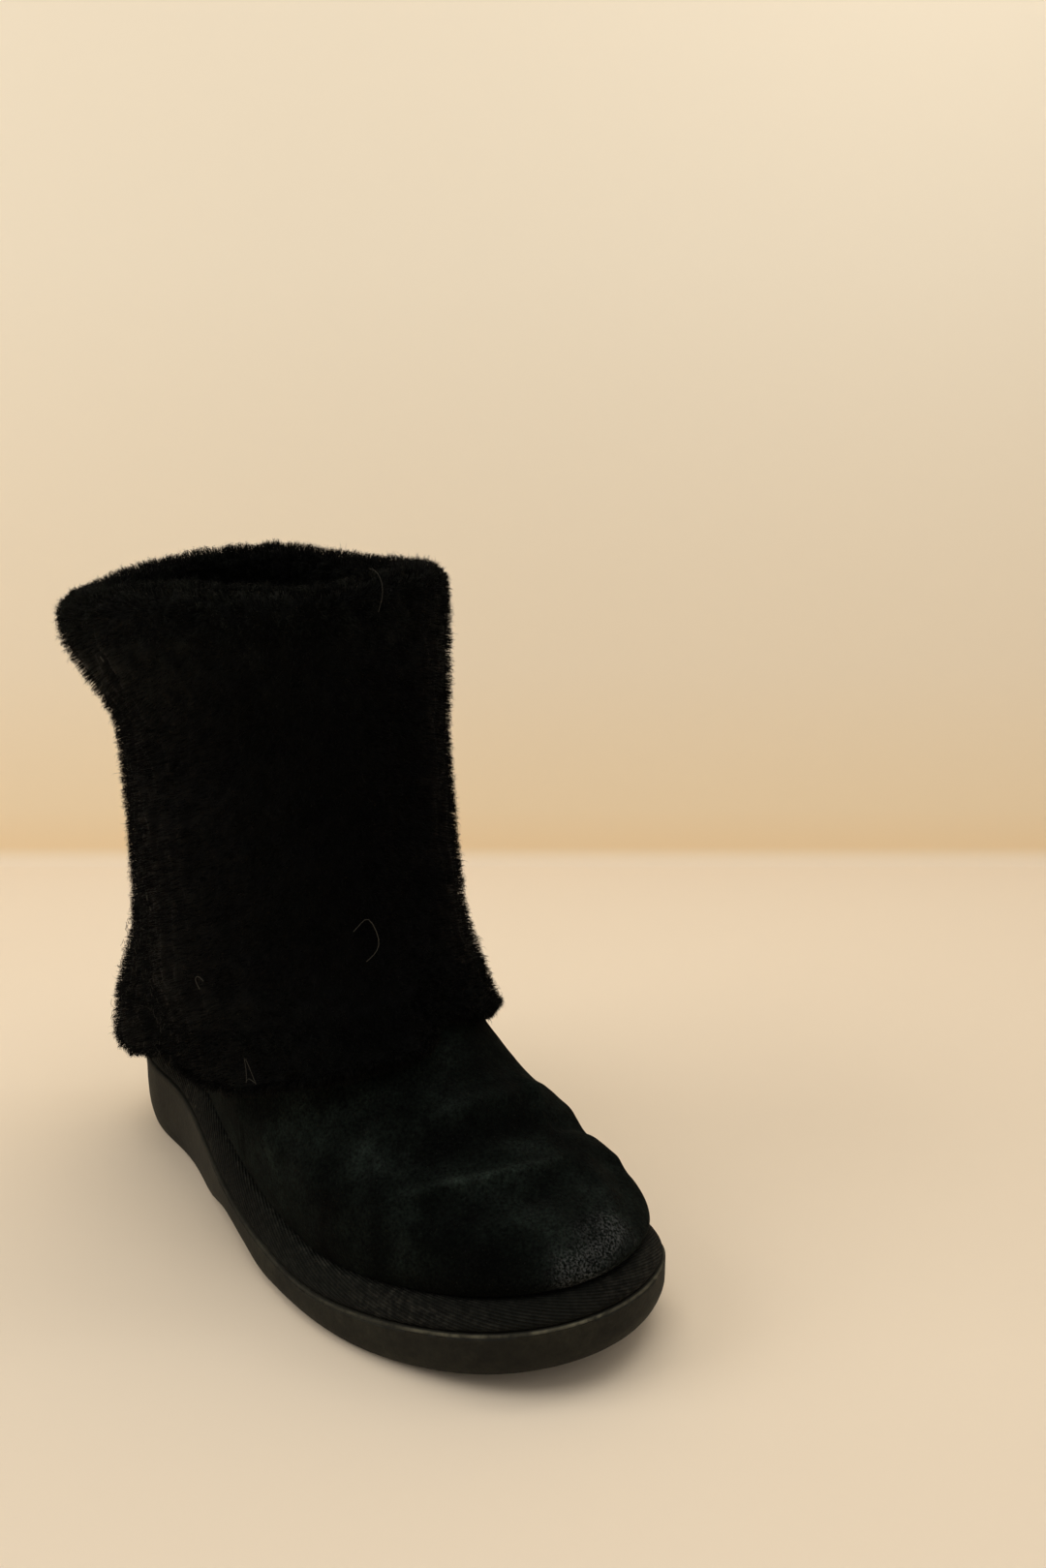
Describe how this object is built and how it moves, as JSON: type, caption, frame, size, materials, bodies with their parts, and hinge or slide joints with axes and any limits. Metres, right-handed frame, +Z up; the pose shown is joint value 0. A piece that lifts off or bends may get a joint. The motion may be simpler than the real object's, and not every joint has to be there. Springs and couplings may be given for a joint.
{
  "type": "fold-over boot",
  "caption": "Short fleece-lined boot with a wedge sole, tape-bound platform and suede foot, its shaft folded over into a deep fur cuff.",
  "frame": {"origin": "on the floor under the middle of the heel, on the flat of the outsole", "axes": "+Z up, the toe points along -Y, +X is the wearer's left, which is the inner side of this right boot; -X is the outer side"},
  "size_m": [0.1258, 0.2753, 0.2448],
  "materials": {
    "sole_rubber": "matt moulded",
    "edge_tape": "ribbed woven tape",
    "suede": "worn suede nap",
    "fleece": "short fleece",
    "fur": "dense curly fur"
  },
  "bodies": {
    "root": {"outsole": "sole_rubber", "platform": "edge_tape", "upper": "suede", "insole": "fleece", "fur_cuff": "fur"}
  },
  "joints": []
}
